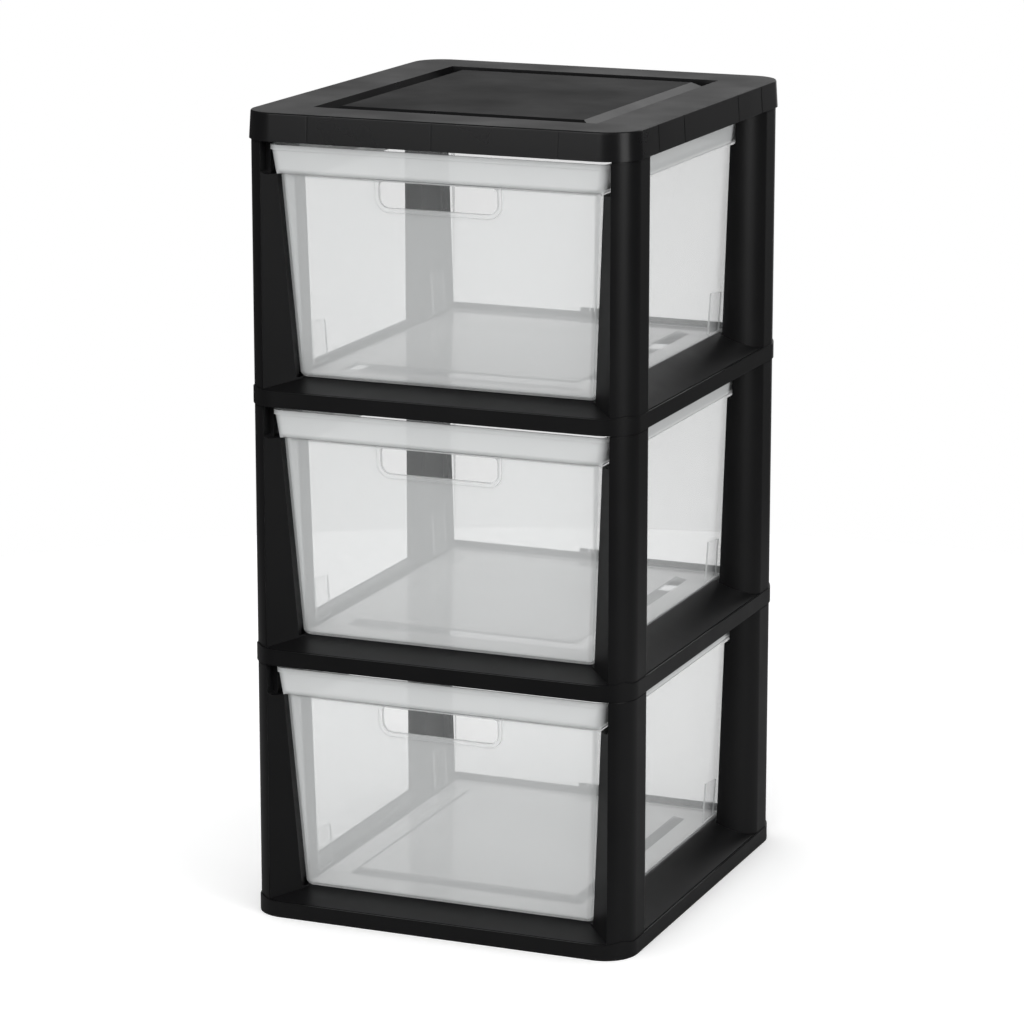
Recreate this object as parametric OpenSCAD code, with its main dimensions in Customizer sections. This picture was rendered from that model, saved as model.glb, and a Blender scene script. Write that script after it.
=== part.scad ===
// Plastic drawer tower: three clear tapered drawers in a black frame.
// The frame is a stack of open rings held apart by corner posts, under a flat cover.
// Millimetres. X runs across the front, Y from the front to the back, Z up.
// The origin is on the floor under the middle of the tower.

/* [Frame] */
// Width of the frame over the corner posts
frame_w = 320; // [290:1:380]
// Depth of the frame over the corner posts
frame_d = 356; // [310:1:420]
// Height of one tier, from the underside of a ring to the underside of the next
tier_h = 208; // [180:1:240]
// Radius of the frame's upright corners
corner_r = 26; // [20:1:34]
// Thickness of the frame's walls
wall = 2.4; // [1.8:0.1:3]

/* [Rings] */
// Height of the band around a ring
band_h = 12.5; // [11:0.5:18]
// How far a ring's band stands proud of the posts
band_over = 1; // [0.4:0.1:1.6]
// Width of the bead along the top edge of a band
edge_bead_w = 1.2; // [1:0.1:2]
// Width of the groove behind that bead
edge_groove_w = 0.8; // [0.5:0.1:1.5]
// Depth of that groove
edge_groove_d = 0.8; // [0.4:0.1:1]
// Height from a ring's band up to the level that its drawer slides on
rail_rise = 7.4; // [4:0.2:10]
// Height from a ring's band up to the top of the ridge beside and behind the drawer
ridge_rise = 14; // [11:0.5:18]
// Thickness of the ridge
ridge_t = 2; // [1.6:0.1:3]
// Distance from the outer face to the ridge of a side rail
side_ridge_w = 31; // [28:0.5:32]
// Distance from the outer face to the ridge of the back rail
back_ridge_w = 20; // [17:0.5:21]
// Width of a side rail, from the outer face to the opening
side_rail_w = 45; // [43:0.5:50]
// Width of the back rail, from the outer face to the opening
back_rail_w = 34; // [31:0.5:40]
// Width of the sloped part of the front rail
front_slope_w = 29; // [24:0.5:34]
// Width of the flat part of the front rail, under the drawer
front_ledge_w = 28; // [16:0.5:36]
// Depth of the lip that hangs from a ring's inner edge
inner_lip_h = 5; // [3:0.5:7]
// Width of the catch in the middle of the back ridge
catch_w = 20; // [14:1:40]
// Height of the catch above the back ridge
catch_h = 3.5; // [2:0.5:6]
// Width of the two slots in the catch
catch_slot_w = 1.4; // [1:0.1:2]
// Distance between the two slots in the catch
catch_slot_pitch = 4; // [3:0.5:8]

/* [Posts] */
// Width of a post's front face, from the outer face to the lip
post_face_w = 15.5; // [13:0.5:19]
// Depth of a post's outer side face
post_side_d = 43; // [38:0.5:45]
// Depth of a post along the drawer
post_d = 67.5; // [60:0.5:72]
// Distance from the outer face to the inner edge of a post's foot
post_w = 38; // [36:0.5:40]
// Height of the shadow line under a ring or the cover
seam_h = 1.5; // [1:0.1:2.5]
// Depth of that shadow line
seam_in = 0.4; // [0.2:0.05:0.8]
// Distance from the outer face to the crown of the post's bowed inner face
post_bow_w = 29.5; // [26:0.5:34]
// Depth of the part of a post that guides the drawer's wall
guide_d = 28; // [22:1:40]
// How far the rest of the post stands back from that guide, at the drawer's rim
guide_step_top = 2; // [1:0.5:4]
// How far it stands back at the drawer's floor
guide_step_low = 6.5; // [2:0.5:8]
// Depth of the recess beside the drawer's rim, behind the front face
recess_d = 14; // [10:1:20]
// Size of the chamfer in the recess's lower corner
recess_chamfer = 2.5; // [1:0.5:3]
// Thickness of the lip at the edge of the front face
lip_t = 1; // [0.5:0.1:2]
// Height of the collar that a post pushes up into the ring or cover above
collar_h = 4.5; // [3:0.5:5]
// How far a post's spigot drops into the ring below
spigot_drop = 7; // [4:0.5:7]
// Width of the spigot
spigot_w = 18; // [12:0.5:18]
// Depth of the spigot
spigot_d = 24; // [16:0.5:26]
// Distance from the post's outer side face to the spigot
spigot_in_x = 10; // [8:0.5:12]
// Distance from the post's front face to the spigot
spigot_in_y = 15; // [14:0.5:18]
// Radius of the spigot's corners
spigot_r = 3; // [2:0.5:5]
// Clearance around a spigot or a collar
fit_gap = 0.3; // [0.2:0.05:0.5]

/* [Cover] */
// Height of the cover's skirt
skirt_h = 22; // [18:0.5:30]
// How far the bottom of the skirt stands proud of the posts
skirt_over = 1.6; // [1:0.1:2.2]
// How far the top of the skirt stands proud of the posts
skirt_top_over = 0.3; // [0:0.1:0.8]
// Radius of the edge between skirt and top
cover_edge_r = 1.5; // [0.8:0.1:2.4]
// Width of the flat rim around the cover's top
cover_rim_w = 42.5; // [36:0.5:50]
// Depth of the groove inside that rim
groove_depth = 8; // [4:0.5:12]
// Width of the groove's floor
groove_floor_w = 3.5; // [2:0.5:6]
// Width of the sloped side of the raised panel inside the groove
panel_slope_w = 13.5; // [8:0.5:18]
// How far the raised panel lies below the rim
panel_drop = 0.3; // [0:0.1:1]
// Thickness of the stiffening webs under the cover
web_t = 2; // [1.5:0.1:3]
// Height of the stiffening webs
web_h = 11; // [6:0.5:14]
// Distance between the webs behind the front and back of the skirt
web_pitch_x = 103; // [80:1:110]
// Distance between the inner pair of webs behind each side of the skirt
web_inner_pitch_y = 124; // [90:1:140]
// Distance between the outer pair of webs behind each side of the skirt
web_outer_pitch_y = 236; // [200:1:240]

/* [Drawers] */
// Thickness of a drawer's walls and floor
drawer_wall = 2; // [1.5:0.1:2.6]
// Running clearance under a drawer's floor and rim
run_gap = 0.3; // [0.3:0.05:0.6]
// Running clearance beside a drawer
side_gap = 0.8; // [0.5:0.1:1.2]
// Gap between the drawer's rim and the front lip of a post
rim_side_gap = 5.5; // [4:0.5:9]
// Distance from the front of the posts back to the drawer's rim
rim_setback = 8; // [5:0.5:12]
// Headroom between the top of a drawer and the ring or cover above
headroom = 3.5; // [3:0.5:10]
// Height of the drawer's rim
rim_h = 23; // [16:0.5:28]
// How far the rim steps out from the walls
rim_out = 5; // [4:0.5:8]
// How much the rim itself draws in from top to bottom
rim_draft = 1.5; // [0.6:0.1:2]
// Radius of the rim's lower edge
rim_edge_r = 4; // [1:0.5:5]
// Height of the lip around the top of the rim
rim_lip_h = 2.5; // [1.5:0.5:4]
// How far that lip stands out
rim_lip_out = 1; // [0.5:0.1:1.5]
// How far each side wall leans in from the rim to the floor
side_taper = 9.5; // [6:0.5:14]
// How far the front and back walls lean in from the rim to the floor
end_taper = 11.5; // [8:0.5:18]
// Corner radius of the drawer at the rim
rim_r = 8; // [7:0.5:12]
// Corner radius of the drawer at the floor
foot_r = 7; // [6:0.5:10]
// Radius of the edge between walls and floor
floor_edge_r = 5; // [3:0.5:6]
// Distance from the side walls to the raised part of the floor
floor_side_border = 24; // [18:1:34]
// Distance from the front and back walls to the raised part of the floor
floor_end_border = 35; // [20:1:45]
// Height of the raised part of the floor
floor_raise = 4; // [2:0.5:6]
// Width of the slope around the raised part of the floor
floor_slope_w = 7.5; // [5:0.5:10]

/* [Drawer handle and pads] */
// Width of the hand slot
slot_w = 98; // [80:1:130]
// Height of the hand slot
slot_h = 20.5; // [16:0.5:28]
// Distance from the rim down to the hand slot
slot_drop = 1; // [0.5:0.5:5]
// Radius of the hand slot's lower corners
slot_r = 8; // [5:0.5:9]
// Radius of the hand slot's upper corners
slot_top_r = 3; // [2:0.5:5]
// Width of the bead around the hand slot
bead_w = 2.5; // [2:0.1:4]
// How far the bead stands proud of the front wall
bead_out = 1.4; // [0.8:0.1:2]
// Width of a pad on the side walls
pad_w = 25; // [16:1:32]
// Height of a pad
pad_h = 40; // [25:1:60]
// Thickness of a pad
pad_t = 1.6; // [1:0.1:2.5]
// Height of a pad's foot above the drawer's underside
pad_lift = 5; // [4:0.5:10]
// Distance from a pad's middle to the middle of the drawer
pad_from_middle = 117; // [95:1:120]

/* [Hidden] */

// tiers, counted from the floor
bottom = 0;
middle = 1;
top = 2;
tiers = 3;
// corners of the frame, as signs along X and Y
left = -1;
right = 1;
front = -1;
back = 1;

half_w = frame_w / 2;
half_d = frame_d / 2;
// thickness of the sheets that a hull is stretched over, and how far a cut runs past a face
sheet_t = 0.01;
past = 1;
round_fn = 96;
bow_fn = 192;
hull_fn = 64;
// angles that a rounded edge is hulled at
edge_steps = [0, 30, 60, 90];

// heights within one tier, measured from the underside of its ring
rail_top = band_h + rail_rise;
ridge_z = band_h + ridge_rise;
drawer_z = rail_top + run_gap;
rim_top = tier_h - headroom;
rim_z = rim_top - rim_h;
ledge_z = rim_z - run_gap;
drawer_lean_h = rim_z - drawer_z;

// half sizes of a drawer: rim, walls under the rim, walls at the floor
rim_x = half_w - post_face_w - rim_side_gap;
rim_y = half_d - rim_setback;
walls_x = rim_x - rim_out;
walls_y = rim_y - rim_out;
foot_x = walls_x - side_taper;
foot_y = walls_y - end_taper;
side_lean = atan(side_taper / drawer_lean_h);
end_lean = atan(end_taper / drawer_lean_h);

// post plan: the bowed inner face is an arc through the side face's back edge and the crown
bow_rise = post_d - post_side_d;
bow_r = (post_bow_w * post_bow_w + bow_rise * bow_rise) / (2 * bow_rise);
lip_x = half_w - post_face_w;
lip_sag = post_face_w < corner_r
    ? corner_r - sqrt(corner_r * corner_r - (corner_r - post_face_w) * (corner_r - post_face_w))
    : 0;
lip_y = -half_d + lip_sag + lip_t;
collar_in = wall - band_over + fit_gap;
post_z = band_h;

// cover: half sizes of the groove's outer edge and of the raised panel's top
groove_x = half_w - cover_rim_w;
groove_y = half_d - cover_rim_w;
panel_x = groove_x - groove_floor_w - panel_slope_w;
panel_y = groove_y - groove_floor_w - panel_slope_w;
panel_h = groove_depth - panel_drop;
groove_z = skirt_h - groove_depth;

// how far the hand slot's cut reaches through the front wall, to either side
slot_reach = drawer_wall + rim_out;

frame_black = "#1b1b1c";
cover_black = "#222223";
clear_plastic = [0.88, 0.89, 0.9, 0.45];

// ---- shared shapes ----

module rounded_rect(w, d, r, fn = round_fn) {
    square([w - 2 * r, d], center = true);
    square([w, d - 2 * r], center = true);
    for (x = [-1, 1], y = [-1, 1])
        translate([x * (w / 2 - r), y * (d / 2 - r)])
            circle(r, $fn = fn);
}

// a thin level sheet with rounded corners, for hulls
module sheet(half_x, half_y, r, z) {
    translate([0, 0, z])
        linear_extrude(sheet_t)
            rounded_rect(2 * half_x, 2 * half_y, r, hull_fn);
}

// extrudes a profile drawn in X and Z along Y, from y0 to y1
module along_y(y0, y1) {
    translate([0, y1, 0])
        rotate([90, 0, 0])
            linear_extrude(y1 - y0)
                children();
}

// extrudes a profile drawn in Y and Z along X, from x0 to x1
module along_x(x0, x1) {
    translate([x0, 0, 0])
        rotate([90, 0, 90])
            linear_extrude(x1 - x0)
                children();
}

// flat-topped block with four sloped sides; half_x and half_y are those of its top
module sloped_block(half_x, half_y, slope_w, h, z) {
    intersection() {
        along_y(-half_y - slope_w, half_y + slope_w)
            polygon([[-half_x - slope_w, z], [-half_x, z + h], [half_x, z + h], [half_x + slope_w, z]]);
        along_x(-half_x - slope_w, half_x + slope_w)
            polygon([[-half_y - slope_w, z], [-half_y, z + h], [half_y, z + h], [half_y + slope_w, z]]);
    }
}

// ---- posts ----

// plan of the front right post, drawn in by inset
module post_plan(inset = 0) {
    reach_x = half_w - post_w + inset;
    edge_x = lip_x + inset;
    edge_y = lip_y + inset * (sqrt(2) - 1);
    bevel = post_d + post_w;
    intersection() {
        rounded_rect(frame_w - 2 * inset, frame_d - 2 * inset, corner_r - inset);
        translate([reach_x, -half_d - past])
            square([post_w + past, post_d + 2 * past]);
        union() {
            translate([half_w - post_bow_w, -half_d + post_d - bow_r])
                circle(bow_r - inset, $fn = bow_fn);
            translate([reach_x, -half_d - past])
                square([half_w - post_bow_w - reach_x, post_d - inset + past]);
            translate([reach_x, -half_d - past])
                square([post_w + past, post_side_d - inset + past]);
        }
        polygon([
            [half_w + past, -half_d - past], [edge_x, -half_d - past], [edge_x, edge_y],
            [edge_x - bevel, edge_y + bevel], [half_w + past, edge_y + bevel]
        ]);
    }
}

// the space that a drawer runs in, widened by extra
module drawer_way(extra = 0) {
    low_x = foot_x + side_gap + extra;
    high_x = walls_x + side_gap + extra;
    rim_way_x = rim_x + rim_lip_out + side_gap + extra;
    recess_x = lip_x + extra;
    recess_y = half_d - recess_d - extra;
    step_y = half_d - guide_d + extra;
    low_z = ledge_z - extra;
    above = tier_h + collar_h + past;
    along_y(-half_d - past, half_d + past)
        way_profile(low_x, high_x, low_z, rim_way_x, above);
    along_y(-step_y, step_y)
        way_profile(low_x + guide_step_low, high_x + guide_step_top, low_z, rim_way_x, above);
    for (y = [-half_d - past, recess_y])
        along_y(y, y + recess_d + past + extra)
            polygon([
                [-recess_x, above], [-recess_x, low_z + recess_chamfer], [-recess_x + recess_chamfer, low_z],
                [recess_x - recess_chamfer, low_z], [recess_x, low_z + recess_chamfer], [recess_x, above]
            ]);
}

// outline of that space: half widths at the drawer's floor, under its rim and beside its rim
module way_profile(low_x, high_x, low_z, rim_way_x, above) {
    polygon([
        [-low_x, rail_top], [-high_x, low_z], [-rim_way_x, low_z], [-rim_way_x, above],
        [rim_way_x, above], [rim_way_x, low_z], [high_x, low_z], [low_x, rail_top]
    ]);
}

module spigot_plan(grow = 0) {
    translate([half_w - spigot_in_x - spigot_w / 2, -half_d + spigot_in_y + spigot_d / 2])
        rounded_rect(spigot_w + 2 * grow, spigot_d + 2 * grow, spigot_r + grow);
}

module at_corner(side, end) {
    mirror([side == left ? 1 : 0, 0, 0])
        mirror([0, end == back ? 1 : 0, 0])
            children();
}

module corner_post(tier, side, end) {
    color(frame_black)
        translate([0, 0, tier * tier_h])
            at_corner(side, end)
                difference() {
                    union() {
                        translate([0, 0, post_z])
                            linear_extrude(tier_h - post_z - seam_h)
                                post_plan();
                        translate([0, 0, tier_h - seam_h])
                            linear_extrude(seam_h)
                                post_plan(seam_in);
                        translate([0, 0, tier_h])
                            linear_extrude(collar_h)
                                post_plan(collar_in);
                        translate([0, 0, post_z - spigot_drop])
                            linear_extrude(spigot_drop)
                                spigot_plan();
                    }
                    drawer_way();
                    post_hollow();
                }
}

// the inside of a post, open downwards through its spigot
module post_hollow() {
    difference() {
        translate([0, 0, post_z + wall])
            linear_extrude(tier_h - post_z - 2 * wall)
                post_plan(wall);
        drawer_way(wall);
    }
    translate([0, 0, post_z - spigot_drop - past])
        linear_extrude(spigot_drop + wall + 2 * past)
            spigot_plan(-wall);
}

// ---- rings ----

// everything under a ring's top surface, full or drawn in by inset
module ring_block(inset = 0) {
    grow = band_over - inset;
    over = band_over + past;
    low = inset > 0 ? -past : 0;
    band_top = band_h - inset;
    front_top = rail_top - inset;
    ridge_top = ridge_z - inset;
    ridge_x = half_w - side_ridge_w - (inset > 0 ? ridge_t : 0);
    ridge_y = half_d - back_ridge_w - (inset > 0 ? ridge_t : 0);
    intersection() {
        translate([0, 0, low])
            linear_extrude(ridge_z - low)
                rounded_rect(frame_w + 2 * grow, frame_d + 2 * grow, corner_r + grow);
        along_y(-half_d - over, half_d + over)
            polygon([
                [-half_w - over, low], [-half_w - over, band_top], [-half_w, band_top], [-ridge_x, ridge_top],
                [ridge_x, ridge_top], [half_w, band_top], [half_w + over, band_top], [half_w + over, low]
            ]);
        along_x(-half_w - over, half_w + over)
            polygon([
                [-half_d - over, low], [-half_d - over, band_top], [-half_d, band_top],
                [-half_d + front_slope_w, front_top], [-half_d + post_d, front_top],
                [-half_d + post_d, ridge_top], [ridge_y, ridge_top], [half_d, band_top],
                [half_d + over, band_top], [half_d + over, low]
            ]);
    }
}

// the room between the ridges, above the level that the drawer slides on
module drawer_bay(inset = 0) {
    bay_x = half_w - side_ridge_w - ridge_t + inset;
    bay_y = half_d - back_ridge_w - ridge_t + inset;
    translate([-bay_x, -half_d - 2 * past, rail_top - inset])
        cube([2 * bay_x, half_d + 2 * past + bay_y, ridge_z]);
}

// the opening through a ring, grown by extra
module ring_opening(extra, z0, z1) {
    open_x = half_w - side_rail_w + extra;
    front_y = -half_d + front_slope_w + front_ledge_w - extra;
    back_y = half_d - back_rail_w + extra;
    translate([-open_x, front_y, z0])
        cube([2 * open_x, back_y - front_y, z1 - z0]);
}

// groove round the top of a band, behind its edge bead
module edge_groove() {
    outer_in = edge_bead_w - band_over;
    inner_in = outer_in + edge_groove_w;
    translate([0, 0, band_h - edge_groove_d])
        linear_extrude(edge_groove_d + rail_rise)
            difference() {
                rounded_rect(frame_w - 2 * outer_in, frame_d - 2 * outer_in, corner_r - outer_in);
                rounded_rect(frame_w - 2 * inner_in, frame_d - 2 * inner_in, corner_r - inner_in);
            }
}

// catch with two slots, standing on the back ridge
module back_catch() {
    catch_y = half_d - back_ridge_w - ridge_t;
    difference() {
        translate([-catch_w / 2, catch_y, rail_top - wall])
            cube([catch_w, ridge_t, ridge_z + catch_h - rail_top + wall]);
        for (side = [left, right])
            translate([side * catch_slot_pitch / 2 - catch_slot_w / 2, catch_y - past, ridge_z])
                cube([catch_slot_w, ridge_t + 2 * past, catch_h + past]);
    }
}

module each_corner() {
    for (side = [left, right], end = [front, back])
        at_corner(side, end)
            children();
}

// the hollow underside of a ring, which stays solid under the posts' feet
module ring_hollow() {
    difference() {
        ring_block(wall);
        drawer_bay(wall);
        ring_opening(wall, rail_top - inner_lip_h, ridge_z);
        each_corner()
            translate([0, 0, band_h - wall])
                linear_extrude(ridge_z)
                    post_plan(-wall);
    }
    ring_opening(wall, -past, rail_top - inner_lip_h);
}

module ring(tier) {
    color(frame_black)
        translate([0, 0, tier * tier_h])
            difference() {
                union() {
                    difference() {
                        ring_block();
                        drawer_bay();
                        ring_hollow();
                        edge_groove();
                        each_corner()
                            translate([0, 0, band_h])
                                linear_extrude(ridge_z)
                                    post_plan();
                    }
                    back_catch();
                    each_corner()
                        translate([0, 0, band_h - spigot_drop])
                            linear_extrude(spigot_drop - wall / 2)
                                spigot_plan(wall + fit_gap);
                }
                ring_opening(0, -past, ridge_z + catch_h + past);
                each_corner()
                    translate([0, 0, -past])
                        linear_extrude(band_h + 2 * past)
                            spigot_plan(fit_gap);
            }
}

// ---- cover ----

module cover_shell(inset = 0) {
    low_over = skirt_over - inset;
    high_over = skirt_top_over - inset;
    edge_r = inset > 0 ? sheet_t : cover_edge_r;
    high_z = skirt_h - inset;
    hull() {
        sheet(half_w + low_over, half_d + low_over, corner_r + low_over, inset > 0 ? -past : 0);
        for (a = edge_steps)
            sheet(
                half_w + high_over - edge_r * (1 - cos(a)), half_d + high_over - edge_r * (1 - cos(a)),
                corner_r + high_over - edge_r * (1 - cos(a)), high_z - sheet_t - edge_r * (1 - sin(a))
            );
    }
}

// webs between the skirt and the tray of the groove
module cover_webs() {
    web_z = skirt_h - wall - web_h;
    reach = cover_rim_w + skirt_top_over - wall;
    outside = wall - skirt_top_over;
    for (x = [-web_pitch_x, 0, web_pitch_x], end = [front, back])
        translate([x - web_t / 2, end == front ? -half_d + outside : half_d - cover_rim_w, web_z])
            cube([web_t, reach, web_h + wall / 2]);
    for (pitch = [web_inner_pitch_y, web_outer_pitch_y], end = [front, back], side = [left, right])
        translate([
            side == left ? -half_w + outside : half_w - cover_rim_w, end * pitch / 2 - web_t / 2, web_z
        ])
            cube([reach, web_t, web_h + wall / 2]);
}

module top_cover() {
    color(cover_black)
        translate([0, 0, tiers * tier_h]) {
            difference() {
                cover_shell();
                difference() {
                    cover_shell(wall);
                    translate([-groove_x - wall, -groove_y - wall, groove_z - wall])
                        cube([2 * (groove_x + wall), 2 * (groove_y + wall), skirt_h]);
                }
                sloped_block(panel_x - wall / 2, panel_y - wall / 2, panel_slope_w, panel_h, groove_z - wall);
                difference() {
                    translate([-groove_x, -groove_y, groove_z])
                        cube([2 * groove_x, 2 * groove_y, groove_depth + past]);
                    sloped_block(panel_x, panel_y, panel_slope_w, panel_h, groove_z);
                }
            }
            cover_webs();
        }
}

// ---- drawers ----

// tapered tub under the rim, drawn in by inset and lifted by its floor
module tub(inset = 0) {
    edge_r = floor_edge_r - inset;
    low_z = drawer_z + inset;
    hull() {
        for (a = edge_steps)
            sheet(
                foot_x - inset - edge_r * (1 - sin(a)), foot_y - inset - edge_r * (1 - sin(a)),
                foot_r - inset - edge_r * (1 - sin(a)), low_z + edge_r * (1 - cos(a))
            );
        sheet(walls_x - inset, walls_y - inset, foot_r - inset, rim_z + inset);
    }
}

module rim_band(inset = 0) {
    low_x = rim_x - rim_draft - inset;
    low_y = rim_y - rim_draft - inset;
    edge_r = inset > 0 ? sheet_t : rim_edge_r;
    hull() {
        for (a = edge_steps)
            sheet(
                low_x - edge_r * (1 - sin(a)), low_y - edge_r * (1 - sin(a)),
                rim_r - inset - edge_r * (1 - sin(a)), rim_z + inset + edge_r * (1 - cos(a))
            );
        sheet(rim_x - inset, rim_y - inset, rim_r - inset, rim_top - sheet_t + (inset > 0 ? past : 0));
    }
}

module rim_lip() {
    translate([0, 0, rim_top - rim_lip_h])
        linear_extrude(rim_lip_h)
            rounded_rect(2 * (rim_x + rim_lip_out), 2 * (rim_y + rim_lip_out), rim_r + rim_lip_out);
}

// draws on the front wall's outer face, with Y down from the rim as negative
module on_front_wall() {
    translate([0, -walls_y, rim_z])
        rotate([90 + end_lean, 0, 0])
            children();
}

module slot_outline(grow = 0) {
    low_r = slot_r + grow;
    high_r = slot_top_r + grow;
    half = slot_w / 2 + grow;
    low = -slot_drop - slot_h - grow;
    high = -slot_drop + grow;
    translate([-half, low + low_r])
        square([2 * half, high - high_r - low - low_r]);
    translate([-half + low_r, low])
        square([2 * (half - low_r), low_r]);
    translate([-half + high_r, high - high_r])
        square([2 * (half - high_r), high_r]);
    for (side = [left, right]) {
        translate([side * (half - low_r), low + low_r])
            circle(low_r, $fn = round_fn);
        translate([side * (half - high_r), high - high_r])
            circle(high_r, $fn = round_fn);
    }
}

// the bead stops at the rim, so that it grows only sideways and down
module slot_bead() {
    on_front_wall()
        translate([0, 0, -drawer_wall / 2])
            linear_extrude(bead_out + drawer_wall / 2)
                intersection() {
                    slot_outline(bead_w);
                    translate([-slot_w, -slot_drop - slot_h - 2 * bead_w])
                        square([2 * slot_w, slot_h + slot_drop + 2 * bead_w]);
                }
}

module slot_cut() {
    on_front_wall()
        translate([0, 0, -slot_reach])
            linear_extrude(2 * slot_reach)
                slot_outline();
}

// pads inside the side walls, near the four lower corners
module wall_pads() {
    for (side = [left, right], y = [-pad_from_middle, pad_from_middle])
        mirror([side == left ? 1 : 0, 0, 0])
            translate([foot_x, y - pad_w / 2, drawer_z])
                rotate([0, side_lean, 0])
                    translate([-drawer_wall - pad_t, 0, pad_lift])
                        cube([pad_t + drawer_wall / 2, pad_w, pad_h]);
}

module drawer(tier) {
    raised_x = foot_x - floor_side_border - floor_slope_w;
    raised_y = foot_y - floor_end_border - floor_slope_w;
    color(clear_plastic)
        translate([0, 0, tier * tier_h])
            difference() {
                union() {
                    difference() {
                        union() {
                            tub();
                            rim_band();
                            rim_lip();
                        }
                        tub(drawer_wall);
                        rim_band(drawer_wall);
                    }
                    sloped_block(raised_x, raised_y, floor_slope_w, floor_raise, drawer_z + drawer_wall);
                    wall_pads();
                    slot_bead();
                }
                slot_cut();
                translate([0, 0, drawer_z - sheet_t])
                    sloped_block(raised_x, raised_y, floor_slope_w, floor_raise + sheet_t, 0);
            }
}

ring(bottom);  // base_ring
ring(middle);  // lower_shelf_ring
ring(top);  // upper_shelf_ring
top_cover();
corner_post(bottom, left, front);  // bottom_front_left_post
corner_post(bottom, right, front);  // bottom_front_right_post
corner_post(bottom, left, back);  // bottom_back_left_post
corner_post(bottom, right, back);  // bottom_back_right_post
corner_post(middle, left, front);  // middle_front_left_post
corner_post(middle, right, front);  // middle_front_right_post
corner_post(middle, left, back);  // middle_back_left_post
corner_post(middle, right, back);  // middle_back_right_post
corner_post(top, left, front);  // top_front_left_post
corner_post(top, right, front);  // top_front_right_post
corner_post(top, left, back);  // top_back_left_post
corner_post(top, right, back);  // top_back_right_post
drawer(bottom);  // bottom_drawer
drawer(middle);  // middle_drawer
drawer(top);  // top_drawer
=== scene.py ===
import math
import bmesh
import bpy
from mathutils import Matrix, Vector


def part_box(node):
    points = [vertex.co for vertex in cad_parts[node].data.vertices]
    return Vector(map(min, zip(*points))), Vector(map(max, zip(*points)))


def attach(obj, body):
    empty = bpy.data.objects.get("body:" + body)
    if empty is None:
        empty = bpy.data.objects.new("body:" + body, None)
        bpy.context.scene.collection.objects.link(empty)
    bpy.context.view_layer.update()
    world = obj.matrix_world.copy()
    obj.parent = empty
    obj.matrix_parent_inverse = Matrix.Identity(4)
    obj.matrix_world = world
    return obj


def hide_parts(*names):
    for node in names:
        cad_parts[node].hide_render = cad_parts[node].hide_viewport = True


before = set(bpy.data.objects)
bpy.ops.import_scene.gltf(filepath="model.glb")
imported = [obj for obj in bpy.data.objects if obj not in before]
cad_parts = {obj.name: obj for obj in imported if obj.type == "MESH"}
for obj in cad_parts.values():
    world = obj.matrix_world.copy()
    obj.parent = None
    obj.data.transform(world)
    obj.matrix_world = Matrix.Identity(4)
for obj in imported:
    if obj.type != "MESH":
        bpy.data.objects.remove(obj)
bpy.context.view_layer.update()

mm = 0.001
near = 0.1 * mm  # two places this close are the same
alongAxis = 0.9  # a normal's part along an axis, from which its face counts as facing that way
tiers = ("bottom", "middle", "top")

# camera: a long lens, a little above the tower, looking at its front right corner
cameraSetup = {
    "place": (1.2221, -2.9681, 1.0748),
    "turn": 21.639,  # degrees round the tower, from the front towards its right
    "lookDown": 12.637,
    "roll": 0.182,
    "sensor": 36,
    "lens": 143.26,
    "shiftX": -0.0586,
    "shiftY": -0.0586,
    "farthest": 50,
}


def addCamera(setup):
    data = bpy.data.cameras.new("camera")
    data.sensor_width = setup["sensor"]
    data.lens = setup["lens"]
    data.shift_x = setup["shiftX"]
    data.shift_y = setup["shiftY"]
    data.clip_end = setup["farthest"]
    camera = bpy.data.objects.new("camera", data)
    bpy.context.scene.collection.objects.link(camera)
    upright = Matrix.Rotation(math.radians(setup["turn"]), 4, "Z")
    tilt = Matrix.Rotation(math.radians(90 - setup["lookDown"]), 4, "X")
    roll = Matrix.Rotation(math.radians(setup["roll"]), 4, "Z")
    camera.matrix_world = Matrix.Translation(setup["place"]) @ upright @ tilt @ roll
    bpy.context.scene.camera = camera


addCamera(cameraSetup)
print("camera placed")


def pickOnly(piece):
    bpy.ops.object.select_all(action="DESELECT")
    piece.select_set(True)
    bpy.context.view_layer.objects.active = piece


# into edit mode, with nothing selected
def openMesh(piece):
    pickOnly(piece)
    bpy.ops.object.mode_set(mode="EDIT")
    bpy.ops.mesh.select_all(action="DESELECT")


def closeMesh():
    bpy.ops.object.mode_set(mode="OBJECT")


def pickFaces(piece, test):
    bpy.ops.mesh.select_mode(type="FACE")
    bpy.ops.mesh.select_all(action="DESELECT")
    mesh = bmesh.from_edit_mesh(piece.data)
    for face in mesh.faces:
        if test(face.calc_center_median(), face.normal):
            face.select_set(True)
    bmesh.update_edit_mesh(piece.data)


def pickEdges(piece, test):
    bpy.ops.mesh.select_mode(type="EDGE")
    bpy.ops.mesh.select_all(action="DESELECT")
    mesh = bmesh.from_edit_mesh(piece.data)
    for edge in mesh.edges:
        if test(edge.verts[0].co, edge.verts[1].co):
            edge.select_set(True)
    bmesh.update_edit_mesh(piece.data)


# a block from its lowest to its highest corner, ready to be shaped
def addBlock(name, low, high):
    middle = [(a + b) / 2 for a, b in zip(low, high)]
    size = [b - a for a, b in zip(low, high)]
    bpy.ops.object.select_all(action="DESELECT")
    bpy.ops.mesh.primitive_cube_add(size=1, location=middle, scale=size)
    block = bpy.context.object
    block.name = name
    bpy.ops.object.transform_apply(location=True, rotation=True, scale=True)
    return block


def roundEdges(piece, test, radius, segments):
    pickEdges(piece, test)
    bpy.ops.mesh.bevel(offset=radius, offset_type="OFFSET", segments=segments, affect="EDGES", clamp_overlap=False)


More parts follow.
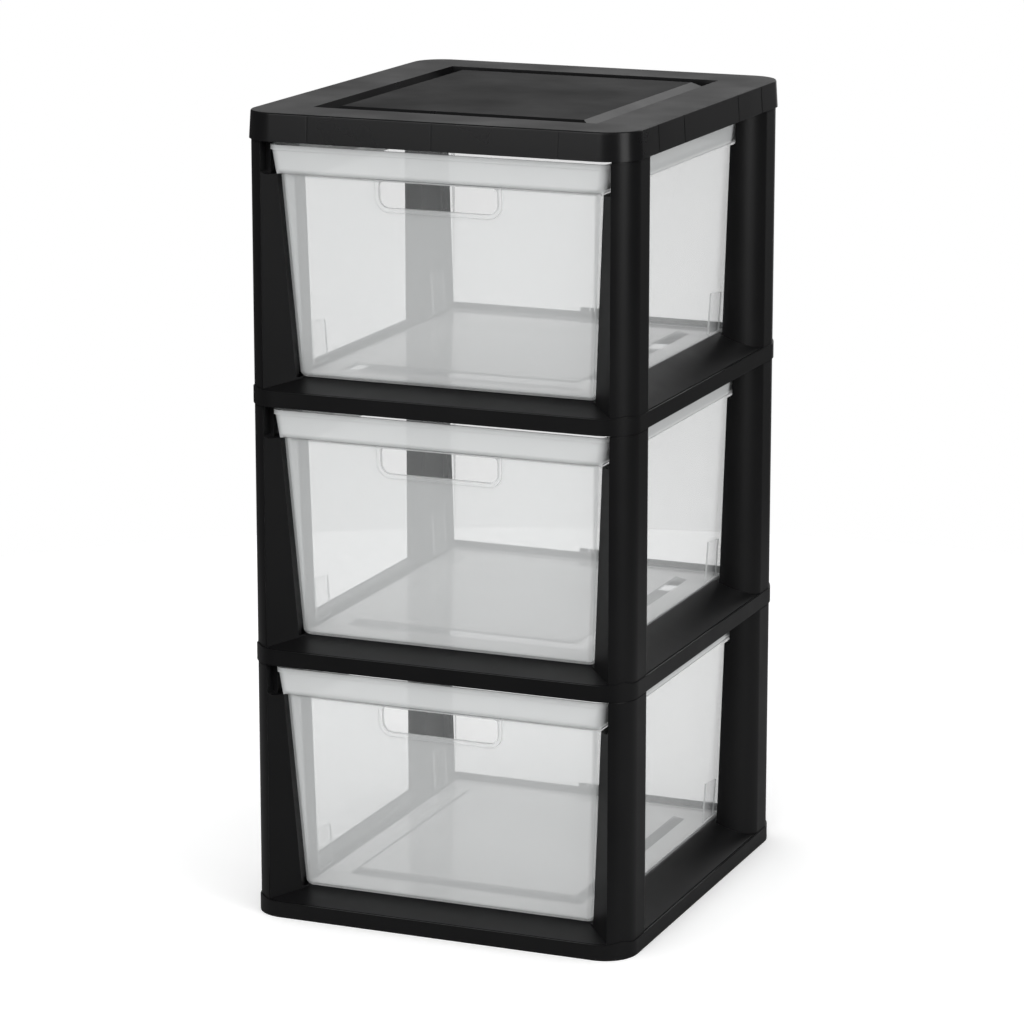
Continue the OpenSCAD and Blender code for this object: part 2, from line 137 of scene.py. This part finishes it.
def applyModifier(piece, kind, **settings):
    pickOnly(piece)
    modifier = piece.modifiers.new(kind.lower(), kind)
    for key, value in settings.items():
        setattr(modifier, key, value)
    bpy.ops.object.modifier_apply(modifier=modifier.name)


def combine(piece, other, operation):
    applyModifier(piece, "BOOLEAN", object=other, operation=operation, solver="EXACT")
    bpy.data.objects.remove(other)


edgeFinish = {
    "segments": 2,
    "largeFaces": 80,  # how much more a large face counts than a small one where their shading meets
    "flatFrom": 9 * mm,
}


# every piece's shape holds softEdge, and in degrees sharpFrom and smoothUnder
def finishEdges(piece, shape):
    applyModifier(
        piece, "BEVEL", width=shape["softEdge"], segments=edgeFinish["segments"], limit_method="ANGLE",
        angle_limit=math.radians(shape["sharpFrom"]), use_clamp_overlap=True,
    )
    pickOnly(piece)
    bpy.ops.object.shade_smooth_by_angle(angle=math.radians(shape["smoothUnder"]))
    applyModifier(piece, "WEIGHTED_NORMAL", keep_sharp=True, weight=edgeFinish["largeFaces"])
    keepFlat(piece, edgeFinish["flatFrom"])


# faces wider than this shade as true planes; only the narrow ones round over
def keepFlat(piece, width):
    mesh = piece.data
    normals = [corner.vector.copy() for corner in mesh.corner_normals]
    for face in mesh.polygons:
        corners = [mesh.vertices[i].co for i in face.vertices]
        longest = max((a - b).length for a, b in zip(corners, corners[1:] + corners[:1]))
        if face.area > width * longest:
            for i in face.loop_indices:
                normals[i] = face.normal.copy()
    mesh.normals_split_custom_set(normals)


# one drawer is modelled, and the other two are copies a tier higher
drawerShape = {
    "wall": 2 * mm,
    "rimHeight": 23 * mm,
    "rimStep": 5 * mm,
    "rimDraft": 2.2 * mm,
    "rimEdge": 4.5 * mm,
    "rimSegments": 4,
    "lipHeight": 4 * mm,
    "lipOut": 1 * mm,
    "sideTaper": 9.5 * mm,
    "endTaper": 11.5 * mm,
    "cornerRadius": 7 * mm,
    "cornerSegments": 6,
    "floorEdge": 5 * mm,
    "floorSegments": 5,
    "floorSideBorder": 24 * mm,
    "floorEndBorder": 35 * mm,
    "floorRaise": 4 * mm,
    "floorSlope": 7.5 * mm,
    "softEdge": 0.35 * mm,
    "sharpFrom": 35,
    "smoothUnder": 25,
}
slotShape = {
    "width": 98 * mm,
    "height": 20.5 * mm,
    "drop": 1 * mm,
    "lowRadius": 8 * mm,
    "lowSegments": 10,
    "highRadius": 3 * mm,
    "highSegments": 6,
    "beadWidth": 3.4 * mm,
    "beadOut": 1.6 * mm,
    "beadEdge": 0.6 * mm,
    "beadSegments": 2,
}
padShape = {
    "width": 25 * mm,
    "height": 35 * mm,
    "topFall": 3 * mm,  # its top runs down towards the back by this much
    "thickness": 1.8 * mm,
    "lift": 5 * mm,
    "fromMiddle": 117 * mm,
    "edge": 0.6 * mm,
    "segments": 2,
}


def modelTub(shape):
    low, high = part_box("bottom_drawer")
    rimX = high.x - shape["lipOut"]
    rimY = high.y - shape["lipOut"]
    rimZ = high.z - shape["rimHeight"]
    wallX = rimX - shape["rimStep"]
    wallY = rimY - shape["rimStep"]
    footX = wallX - shape["sideTaper"]
    footY = wallY - shape["endTaper"]
    tub = addBlock("drawerTub", (-footX, -footY, low.z), (footX, footY, rimZ))
    openMesh(tub)
    # the walls lean outwards
    pickFaces(tub, lambda place, normal: normal.z > alongAxis)
    bpy.ops.transform.resize(value=(wallX / footX, wallY / footY, 1), center_override=(0, 0, rimZ))
    roundEdges(tub, lambda a, b: abs(a.z - b.z) > rimZ / 2, shape["cornerRadius"], shape["cornerSegments"])
    roundEdges(tub, lambda a, b: max(a.z, b.z) < low.z + mm, shape["floorEdge"], shape["floorSegments"])
    # rim: out, up with a little draft, out again for the lip, and up
    lowX = rimX - shape["rimDraft"]
    lowY = rimY - shape["rimDraft"]
    steps = (
        (lowX / wallX, lowY / wallY, 0),
        (rimX / lowX, rimY / lowY, shape["rimHeight"] - shape["lipHeight"]),
        (high.x / rimX, high.y / rimY, 0),
        (1, 1, shape["lipHeight"]),
    )
    pickFaces(tub, lambda place, normal: normal.z > alongAxis and place.z > rimZ - mm)
    for growX, growY, rise in steps:
        bpy.ops.mesh.extrude_region_move(TRANSFORM_OT_translate={"value": (0, 0, rise)})
        bpy.ops.transform.resize(value=(growX, growY, 1), center_override=(0, 0, rimZ))
    bpy.ops.mesh.delete(type="FACE")
    roundEdges(
        tub,
        lambda a, b: max(abs(a.z - rimZ), abs(b.z - rimZ)) < near
        and all(abs(p.x) > wallX + mm or abs(p.y) > wallY + mm for p in (a, b)),
        shape["rimEdge"], shape["rimSegments"],
    )
    # raised panel in the floor, with mitred slopes
    panelX = footX - shape["floorSideBorder"]
    panelY = footY - shape["floorEndBorder"]
    for side, normal in (((panelX, 0, 0), (1, 0, 0)), ((0, panelY, 0), (0, 1, 0))):
        for sign in (-1, 1):
            pickFaces(tub, lambda place, facing: facing.z < -alongAxis and place.z < low.z + near)
            bpy.ops.mesh.bisect(plane_co=[sign * value for value in side], plane_no=normal)
    pickFaces(tub, lambda place, facing: facing.z < -alongAxis and abs(place.x) < mm and abs(place.y) < mm)
    bpy.ops.mesh.inset(thickness=shape["floorSlope"], depth=-shape["floorRaise"])
    closeMesh()
    applyModifier(tub, "SOLIDIFY", thickness=shape["wall"], offset=-1, use_even_offset=True, use_rim=True)
    return tub, Vector((wallX, wallY, rimZ)), Vector((footX, footY, low.z))


# a plate on the front wall that leans with it: top and bottom are distances below the rim
def frontPlate(name, rim, foot, halfWidth, top, bottom, out, deep, lowRadius, highRadius):
    lean = (rim.y - foot.y) / (rim.z - foot.z)
    low = (-halfWidth, -rim.y - out, rim.z - bottom)
    high = (halfWidth, -rim.y + deep, rim.z - top)
    plate = addBlock(name, low, high)
    openMesh(plate)
    pickFaces(plate, lambda place, normal: normal.z < -alongAxis)
    bpy.ops.transform.translate(value=(0, lean * (bottom - top), 0))
    middle = rim.z - (top + bottom) / 2
    roundEdges(
        plate, lambda a, b: abs(a.y - b.y) > mm and max(a.z, b.z) < middle, lowRadius, slotShape["lowSegments"]
    )
    if highRadius > 0:
        roundEdges(
            plate, lambda a, b: abs(a.y - b.y) > mm and min(a.z, b.z) > middle, highRadius,
            slotShape["highSegments"],
        )
    closeMesh()
    return plate


def addHandSlot(tub, rim, foot, wall, slot):
    half = slot["width"] / 2
    top = slot["drop"]
    bottom = slot["drop"] + slot["height"]
    through = 5 * wall  # more than the wall with its bead is thick
    uprightLean = (bottom + slot["beadWidth"]) / 8  # more than the bead's upright edges lean
    bead = frontPlate(
        "slotBead", rim, foot, half + slot["beadWidth"], 0, bottom + slot["beadWidth"],
        slot["beadOut"], wall / 2, slot["lowRadius"] + slot["beadWidth"], 0,
    )
    openMesh(bead)
    roundEdges(
        bead, lambda a, b: max(a.y, b.y) < -rim.y + wall / 2 and min(a.z, b.z) < rim.z - mm
        and abs(a.y - b.y) < uprightLean, slot["beadEdge"], slot["beadSegments"],
    )
    closeMesh()
    combine(tub, bead, "UNION")
    opening = frontPlate(
        "slotOpening", rim, foot, half, top, bottom, through, through, slot["lowRadius"], slot["highRadius"]
    )
    combine(tub, opening, "DIFFERENCE")


def addPads(tub, rim, foot, wall, pad):
    lean = (rim.x - foot.x) / (rim.z - foot.z)
    for side in (-1, 1):
        for end in (-1, 1):
            z = foot.z + pad["lift"]
            faceX = foot.x + lean * pad["lift"] - wall - pad["thickness"]
            backX = foot.x + lean * pad["lift"] - wall / 2
            y = end * pad["fromMiddle"]
            low = (min(side * faceX, side * backX), y - pad["width"] / 2, z)
            high = (max(side * faceX, side * backX), y + pad["width"] / 2, z + pad["height"])
            block = addBlock("wallPad", low, high)
            openMesh(block)
            pickFaces(block, lambda place, normal: normal.z > alongAxis)
            bpy.ops.transform.translate(value=(side * lean * pad["height"], 0, 0))
            pickEdges(block, lambda a, b: min(a.y, b.y) > y and min(a.z, b.z) > z + pad["height"] / 2)
            bpy.ops.transform.translate(value=(0, 0, -pad["topFall"]))
            inner = side * (faceX + pad["thickness"] / 2 + lean * pad["height"])
            roundEdges(
                block, lambda a, b: max(side * a.x, side * b.x) < side * inner and abs(a.x - b.x) < wall * 2
                and max(side * a.x, side * b.x) < backX, pad["edge"], pad["segments"],
            )
            closeMesh()
            combine(tub, block, "UNION")


def modelDrawers():
    tub, rim, foot = modelTub(drawerShape)
    addPads(tub, rim, foot, drawerShape["wall"], padShape)
    addHandSlot(tub, rim, foot, drawerShape["wall"], slotShape)
    finishEdges(tub, drawerShape)
    drawers = []
    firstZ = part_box("bottom_drawer")[0].z
    for tier in tiers:
        node = tier + "_drawer"
        copy = bpy.data.objects.new(tier + "ClearDrawer", tub.data.copy())
        bpy.context.scene.collection.objects.link(copy)
        copy.data.transform(Matrix.Translation((0, 0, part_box(node)[0].z - firstZ)))
        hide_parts(node)
        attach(copy, node)
        drawers.append(copy)
    bpy.data.objects.remove(tub)
    return drawers


drawers = modelDrawers()
print("drawers modelled")


# the moulded rings, posts and cover get their soft edges
frameShape = {
    "softEdge": 0.4 * mm,
    "weldWithin": 0.01 * mm,
    "flatWithin": 0.4,  # degrees, as are the next two
    "sharpFrom": 28,
    "smoothUnder": 26,
}
coverShape = {
    "frontLines": (-103 * mm, 0, 103 * mm),
    "sideLines": (-118 * mm, -62 * mm, 62 * mm, 118 * mm),
    "lineWidth": 1.4 * mm,
    "lineSlope": 0.5 * mm,
    "lineDepth": 0.24 * mm,
    "skirtReach": 2 * mm,
    "panelX": 101 * mm,
    "panelY": 119 * mm,
}


def mouldedCopy(node, name, shapeMore=None):
    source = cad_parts[node]
    copy = bpy.data.objects.new(name, source.data.copy())
    bpy.context.scene.collection.objects.link(copy)
    copy.data.materials.clear()
    openMesh(copy)
    bpy.ops.mesh.select_all(action="SELECT")
    bpy.ops.mesh.remove_doubles(threshold=frameShape["weldWithin"])
    bpy.ops.mesh.dissolve_limited(angle_limit=math.radians(frameShape["flatWithin"]))
    if shapeMore:
        shapeMore(copy)
    closeMesh()
    bpy.ops.mesh.customdata_custom_splitnormals_clear()
    finishEdges(copy, frameShape)
    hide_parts(node)
    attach(copy, "frame")
    return copy


# the skirt has sunk a little along each web behind it, which shows as faint upright lines
def sinkSkirtLines(cover):
    low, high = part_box("top_cover")
    shape = coverShape
    half = shape["lineWidth"] / 2
    for across, facing, reach, places in (
        (Vector((1, 0, 0)), Vector((0, 1, 0)), high.y, shape["frontLines"]),
        (Vector((0, 1, 0)), Vector((1, 0, 0)), high.x, shape["sideLines"]),
    ):
        def onSkirt(place, normal, middle=0, width=1):
            outside = abs(place.dot(facing)) > reach - shape["skirtReach"] and place.dot(normal) > 0
            return outside and abs(normal.dot(facing)) > alongAxis and abs(place.dot(across) - middle) < width

        for middle in places:
            for offset in (-half - shape["lineSlope"], -half, half, half + shape["lineSlope"]):
                pickFaces(cover, onSkirt)
                bpy.ops.mesh.bisect(plane_co=across * (middle + offset), plane_no=across)
            pickFaces(cover, lambda place, normal: onSkirt(place, normal, middle, half))
            shrink = Vector((1, 1, 1)) - facing * shape["lineDepth"] / reach
            bpy.ops.transform.resize(value=shrink, center_override=(0, 0, 0))


rings = [
    mouldedCopy("base_ring", "baseRing"),
    mouldedCopy("lower_shelf_ring", "lowerShelfRing"),
    mouldedCopy("upper_shelf_ring", "upperShelfRing"),
]
posts = [
    mouldedCopy(f"{tier}_{end}_{side}_post", tier + end.title() + side.title() + "Post")
    for tier in tiers
    for end in ("front", "back")
    for side in ("left", "right")
]
cover = mouldedCopy("top_cover", "topCover", sinkSkirtLines)
print("frame softened")


# an sRGB hex value as the linear colour that the shaders take
def linear(hexColour):
    channels = [int(hexColour[i:i + 2], 16) / 255 for i in (1, 3, 5)]
    return [c / 12.92 if c <= 0.04045 else ((c + 0.055) / 1.055) ** 2.4 for c in channels] + [1]


def newMaterial(name):
    material = bpy.data.materials.new(name)
    material.use_nodes = True
    tree = material.node_tree
    return material, tree, tree.nodes["Principled BSDF"]


# adds one node, sets it and links its inputs
def addNode(tree, kind, settings=(), values=(), links=()):
    node = tree.nodes.new(kind)
    for key, value in dict(settings).items():
        setattr(node, key, value)
    for key, value in dict(values).items():
        node.inputs[key].default_value = value
    for key, source in dict(links).items():
        tree.links.new(source, node.inputs[key])
    return node


polypropyleneIor = 1.49
blackFinish = {
    "frameColour": "#0e0e0f",
    "coverColour": "#101011",
    "roughness": 0.36,
    "coverRoughness": 0.3,
    "topRoughness": 0.4,
    "panelRoughness": 0.48,
    "innerRoughness": 0.45,
    "specular": 0.43,
    # the weaker shines of the cover's top and, weaker still, of its panel are painted shade
    "topShadeSpecular": 0.24,
    "panelShadeSpecular": 0.11,
    # a weaker shine for the posts' inward bevels, painted shade
    "innerShadeSpecular": 0.32,
    "glossLess": 0.04,
    "glossMore": 0.05,
    "grain": 0.9 * mm,  # coarser than the mould's real grain, which is too fine to show
    "grainDepth": 0.02 * mm,
    "grainStrength": 0.35,
    "cloud": 60 * mm,
    "cloudRange": (0.3, 0.7),
}
clearFinish = {
    "colour": "#f2f4f4",
    "roughness": 0.2,
    "alpha": 0.2,
    "coat": 0,
}
frostedFinish = {
    "colour": "#e9ebeb",
    "roughness": 0.34,
    "alpha": 0.31,
    "coat": 0,
}
floorFinish = {
    "colour": "#ffffff",
    "roughness": 0.09,
    "alpha": 0.86,
    "coat": 1,
}
rimFinish = {
    "colour": "#e6e8e8",
    "roughness": 0.3,
    "alpha": 0.72,
    "coat": 0,
}
flowFinish = {
    "waves": 30 * mm,
    "waveDepth": 0.3 * mm,
    "waveStrength": 0.4,
    "glossLess": 0.04,
    "glossMore": 0.06,
    "coatRoughness": 0.05,
}


# black polypropylene from a spark-eroded mould: a soft satin shine, broken up by a fine even grain
def mouldedBlackPolypropylene(name, colour, roughness, specular):
    finish = blackFinish
    material, tree, plastic = newMaterial(name)
    plastic.inputs["Base Color"].default_value = linear(finish[colour])
    plastic.inputs["IOR"].default_value = polypropyleneIor
    plastic.inputs["Specular IOR Level"].default_value = finish[specular]
    place = addNode(tree, "ShaderNodeTexCoord")
    grain = addNode(
        tree, "ShaderNodeTexNoise", values={"Scale": 1 / finish["grain"], "Detail": 3},
        links={"Vector": place.outputs["Object"]},
    )
    cloud = addNode(
        tree, "ShaderNodeTexNoise", values={"Scale": 1 / finish["cloud"], "Detail": 3},
        links={"Vector": place.outputs["Object"]},
    )
    gloss = addNode(
        tree, "ShaderNodeMapRange",
        values={
            "From Min": finish["cloudRange"][0], "From Max": finish["cloudRange"][1],
            "To Min": finish[roughness] - finish["glossLess"], "To Max": finish[roughness] + finish["glossMore"],
        },
        links={"Value": cloud.outputs["Fac"]},
    )
    tree.links.new(gloss.outputs["Result"], plastic.inputs["Roughness"])
    bump = addNode(
        tree, "ShaderNodeBump", values={"Strength": finish["grainStrength"], "Distance": finish["grainDepth"]},
        links={"Height": grain.outputs["Fac"]},
    )
    tree.links.new(bump.outputs["Normal"], plastic.inputs["Normal"])
    return material


# natural polypropylene from a polished mould: milky clear, with a soft gloss and faint flow waves
def mouldedClearPolypropylene(name, finish):
    material, tree, plastic = newMaterial(name)
    plastic.inputs["Base Color"].default_value = linear(finish["colour"])
    plastic.inputs["IOR"].default_value = polypropyleneIor
    plastic.inputs["Alpha"].default_value = finish["alpha"]
    plastic.inputs["Coat Weight"].default_value = finish["coat"]
    plastic.inputs["Coat Roughness"].default_value = flowFinish["coatRoughness"]
    place = addNode(tree, "ShaderNodeTexCoord")
    flow = addNode(
        tree, "ShaderNodeTexNoise", values={"Scale": 1 / flowFinish["waves"], "Detail": 2},
        links={"Vector": place.outputs["Object"]},
    )
    gloss = addNode(
        tree, "ShaderNodeMapRange",
        values={
            "To Min": finish["roughness"] - flowFinish["glossLess"],
            "To Max": finish["roughness"] + flowFinish["glossMore"],
        },
        links={"Value": flow.outputs["Fac"]},
    )
    tree.links.new(gloss.outputs["Result"], plastic.inputs["Roughness"])
    bump = addNode(
        tree, "ShaderNodeBump",
        values={"Strength": flowFinish["waveStrength"], "Distance": flowFinish["waveDepth"]},
        links={"Height": flow.outputs["Fac"]},
    )
    tree.links.new(bump.outputs["Normal"], plastic.inputs["Normal"])
    return material


frameBlack = mouldedBlackPolypropylene("mouldedBlackPolypropylene", "frameColour", "roughness", "specular")
coverBlack = mouldedBlackPolypropylene(
    "mouldedBlackCoverPolypropylene", "coverColour", "coverRoughness", "specular"
)
# a copy of the cover's black with a weaker shine, painted shade on the cover's level top faces
shadedTopBlack = mouldedBlackPolypropylene("mouldedBlackShadedTopPolypropylene", "coverColour", "topRoughness", "topShadeSpecular")
# a duller copy of the frame's black, painted shade on the posts' inward bevels
shadedInnerBlack = mouldedBlackPolypropylene(
    "mouldedBlackShadedInnerPolypropylene", "frameColour", "innerRoughness", "innerShadeSpecular"
)
# a rougher copy with a weaker shine still, the weaker shine being painted shade on the top's panel
shadedPanelBlack = mouldedBlackPolypropylene(
    "mouldedBlackShadedPanelPolypropylene", "coverColour", "panelRoughness", "panelShadeSpecular"
)
clear = mouldedClearPolypropylene("mouldedClearPolypropylene", clearFinish)
frosted = mouldedClearPolypropylene("mouldedFrostedPolypropylene", frostedFinish)
milky = mouldedClearPolypropylene("mouldedMilkyPolypropylene", floorFinish)
rimMilky = mouldedClearPolypropylene("mouldedMilkyRimPolypropylene", rimFinish)

# which faces get which finish: parts of a normal along an axis, and distances
finishZones = {
    "bevelFrom": 0.5,
    "bevelTo": 0.9,
    "level": 0.95,
    "sloped": 0.8,
    "wallFacing": 0.7,
    "frontReach": 40 * mm,  # the front wall and rim lie within this of the drawer's front
    "floorReach": 9 * mm,  # and the floor with its raised panel within this of its underside
}


def finishFrame(zones):
    for piece in rings + posts:
        piece.data.materials.append(frameBlack)
    # the bevelled faces that look inwards, beside the drawers, get a duller copy of the black: painted shade,
    # dimming their reflection of the white drawer beside them
    for piece in posts:
        piece.data.materials.append(shadedInnerBlack)
        for face in piece.data.polygons:
            inwards = face.normal.x * face.center.x < 0
            if inwards and zones["bevelFrom"] < abs(face.normal.y) < zones["bevelTo"]:
                face.material_index = 1
    # the cover's level top faces take the dimmer copies, painted shade, and the panel the dimmest
    for material in (coverBlack, shadedTopBlack, shadedPanelBlack):
        cover.data.materials.append(material)
    coverTop = max(vertex.co.z for vertex in cover.data.vertices)
    for face in cover.data.polygons:
        if face.normal.z > zones["level"] and face.center.z > coverTop - mm:
            corners = [cover.data.vertices[i].co for i in face.vertices]
            onPanel = all(
                abs(place.x) < coverShape["panelX"] and abs(place.y) < coverShape["panelY"] for place in corners
            )
            face.material_index = 2 if onPanel else 1


def finishDrawer(piece, zones):
    piece.data.materials.clear()
    for material in (clear, frosted, milky, rimMilky):
        piece.data.materials.append(material)
    frontY = min(vertex.co.y for vertex in piece.data.vertices)
    lowZ = min(vertex.co.z for vertex in piece.data.vertices)
    rimZ = max(vertex.co.z for vertex in piece.data.vertices) - drawerShape["rimHeight"]
    slotReach = slotShape["width"] / 2 + slotShape["beadWidth"] + mm
    slotZ = rimZ - slotShape["drop"] - slotShape["height"] - slotShape["beadWidth"] - mm
    padZ = lowZ + padShape["lift"] + padShape["height"] + 2 * mm
    for face in piece.data.polygons:
        place = face.center
        normal = face.normal
        low = place.z < lowZ + zones["floorReach"]
        onFloor = low and abs(normal.z) > zones["level"]
        onSlope = low and zones["sloped"] < abs(normal.z) < zones["level"]
        atFront = place.y < frontY + zones["frontReach"]
        byPad = abs(abs(place.y) - padShape["fromMiddle"]) < padShape["width"] / 2 + mm and place.z < padZ
        padEdge = byPad and abs(normal.x) < zones["wallFacing"] and not onFloor and not onSlope
        bySlot = atFront and abs(place.x) < slotReach and place.z > slotZ
        slotEdge = bySlot and abs(normal.y) < zones["wallFacing"]
        if place.z > rimZ or slotEdge or padEdge:
            face.material_index = 3
        elif onFloor:
            face.material_index = 2
        elif onSlope or byPad or atFront and abs(normal.y) > zones["wallFacing"]:
            face.material_index = 1


finishFrame(finishZones)
for drawer in drawers:
    finishDrawer(drawer, finishZones)
print("materials assigned")


stageSetup = {
    "floorRadius": 1.2,
    "floorSides": 96,
    "paperRoughness": 0.9,
    "paperSpecular": 0.1,
    "floorColour": 0.55,
    "floorGain": 1.2,  # the floor is exposed a little past white, so only its deepest shadow shows
    "frontMirrored": 0.03,  # how light the floor is in the tower's shine, in front of it and beside it
    "sideMirrored": 0.2,
    "mirroredFrontTo": (-0.45, -0.1),  # where along the depth the first passes into the second
    "softAbove": 0.88,  # the even light from above and from below
    "softBelow": 0.4,
    "softBlend": (-0.2, 0.2),
    "mirroredRoom": 0.045,  # how light the dark room and the pale backdrop are in the shine
    "mirroredBackdrop": 0.66,
    "backdropEdge": (0.75, 0.92),  # the backdrop starts here, straight behind the tower
    "backdropFoot": (-0.4, -0.15),  # and ends here, low down towards the right
}
lampSetup = {
    # name: place, aim, width, height, watts
    "frontBox": ((0.4, -3.4, 2.6), (0, 0, 0.3), 1.8, 1.2, 33),
    "frontLowBox": ((-0.9, -3.4, 1.3), (0, 0, 0.3), 1.8, 1.2, 14),
    "rightBox": ((3.0, -1.1, 1.3), (0, 0, 0.35), 1.6, 2.2, 26),
    "backBox": ((0.0, 3.3, 2.2), (0, 0, 0.4), 1.6, 0.8, 1.5),
}


# passes from one value to another as the input goes through the range; either may be another node's output
def addBlend(tree, value, between, start, end):
    values = {"From Min": between[0], "From Max": between[1]}
    links = {"Value": value}
    for socket, part in (("To Min", start), ("To Max", end)):
        (values if isinstance(part, (int, float)) else links)[socket] = part
    return addNode(tree, "ShaderNodeMapRange", values=values, links=links).outputs["Result"]


def addFloor(setup):
    bpy.ops.object.select_all(action="DESELECT")
    bpy.ops.mesh.primitive_circle_add(
        vertices=setup["floorSides"], radius=setup["floorRadius"], fill_type="NGON"
    )
    floor = bpy.context.object
    floor.name = "studioFloor"
    material, tree, surface = newMaterial("paperSweep")
    surface.inputs["Roughness"].default_value = setup["paperRoughness"]
    surface.inputs["Specular IOR Level"].default_value = setup["paperSpecular"]
    ray = addNode(tree, "ShaderNodeLightPath")
    place = addNode(tree, "ShaderNodeTexCoord")
    across = addNode(tree, "ShaderNodeSeparateXYZ", links={"Vector": place.outputs["Object"]})
    mirroredPaper = addBlend(
        tree, across.outputs["Y"], setup["mirroredFrontTo"], setup["frontMirrored"], setup["sideMirrored"]
    )
    unseen = addBlend(tree, ray.outputs["Is Glossy Ray"], (0, 1), setup["floorColour"], mirroredPaper)
    colour = addBlend(tree, ray.outputs["Is Camera Ray"], (0, 1), unseen, setup["floorGain"])
    tree.links.new(colour, surface.inputs["Base Color"])
    floor.data.materials.append(material)


# white for the camera, a soft light on the surfaces, and in their shine a dark room with a pale backdrop
def addWorld(setup):
    world = bpy.data.worlds.new("studio")
    bpy.context.scene.world = world
    world.use_nodes = True
    tree = world.node_tree
    background = tree.nodes["Background"]
    ray = addNode(tree, "ShaderNodeLightPath")
    mirrored = addNode(
        tree, "ShaderNodeMath", settings={"operation": "MAXIMUM"},
        links={0: ray.outputs["Is Glossy Ray"], 1: ray.outputs["Is Transmission Ray"]},
    )
    place = addNode(tree, "ShaderNodeTexCoord")
    facing = addNode(tree, "ShaderNodeSeparateXYZ", links={"Vector": place.outputs["Generated"]})
    behind = addBlend(
        tree, facing.outputs["Y"], setup["backdropEdge"], setup["mirroredRoom"], setup["mirroredBackdrop"]
    )
    lean = addNode(
        tree, "ShaderNodeMath", settings={"operation": "SUBTRACT"},
        links={0: facing.outputs["Z"], 1: facing.outputs["X"]},
    )
    backdrop = addBlend(tree, lean.outputs["Value"], setup["backdropFoot"], setup["mirroredRoom"], behind)
    soft = addBlend(tree, facing.outputs["Z"], setup["softBlend"], setup["softBelow"], setup["softAbove"])
    room = addBlend(tree, mirrored.outputs["Value"], (0, 1), soft, backdrop)
    light = addBlend(tree, ray.outputs["Is Camera Ray"], (0, 1), room, 1)
    background.inputs["Color"].default_value = (1, 1, 1, 1)
    tree.links.new(light, background.inputs["Strength"])


def addLamp(name, place, aim, width, height, watts):
    data = bpy.data.lights.new(name, "AREA")
    data.shape = "RECTANGLE"
    data.size = width
    data.size_y = height
    data.energy = watts
    lamp = bpy.data.objects.new(name, data)
    bpy.context.scene.collection.objects.link(lamp)
    lamp.location = place
    lamp.rotation_euler = (Vector(place) - Vector(aim)).to_track_quat("Z", "Y").to_euler()


addFloor(stageSetup)
addWorld(stageSetup)
for name, values in lampSetup.items():
    addLamp(name, *values)
bpy.context.scene.view_settings.view_transform = "Standard"
bpy.context.scene.cycles.transparent_max_bounces = 32
print("studio lit")
